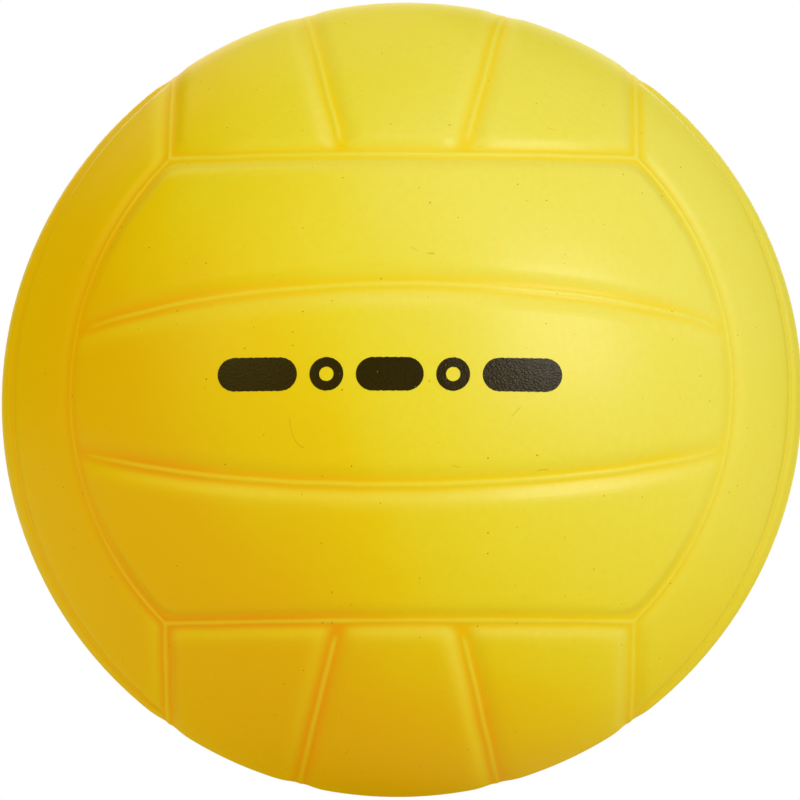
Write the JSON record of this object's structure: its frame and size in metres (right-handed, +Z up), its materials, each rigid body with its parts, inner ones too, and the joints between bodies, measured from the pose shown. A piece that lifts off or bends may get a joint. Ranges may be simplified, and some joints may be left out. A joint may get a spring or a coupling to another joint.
{
  "type": "roundnet ball",
  "caption": "Small hollow moulded vinyl game ball with raised panels, seam channels with beads, and a press-in rubber needle valve for inflating it.",
  "frame": {"origin": "centre of the ball", "axes": "+Z up, -Y towards the face with the print's place, +Y out of the valve, +X along the front face's strips, to the right seen from the front"},
  "size_m": [0.097, 0.097, 0.097],
  "materials": {
    "yellow_vinyl": "satin cast vinyl, slightly translucent",
    "pale_vinyl": "satin cast vinyl",
    "valve_rubber": "matte moulded rubber"
  },
  "bodies": {
    "ball": {"ball_skin": "yellow_vinyl", "valve_sleeve": "pale_vinyl"},
    "plug": {"valve_plug": "valve_rubber"}
  },
  "joints": [
    {"name": "plug_pull", "type": "slide", "parent": "ball", "child": "plug", "axis": [0, 1, 0], "range_m": [0, 0.009]}
  ]
}
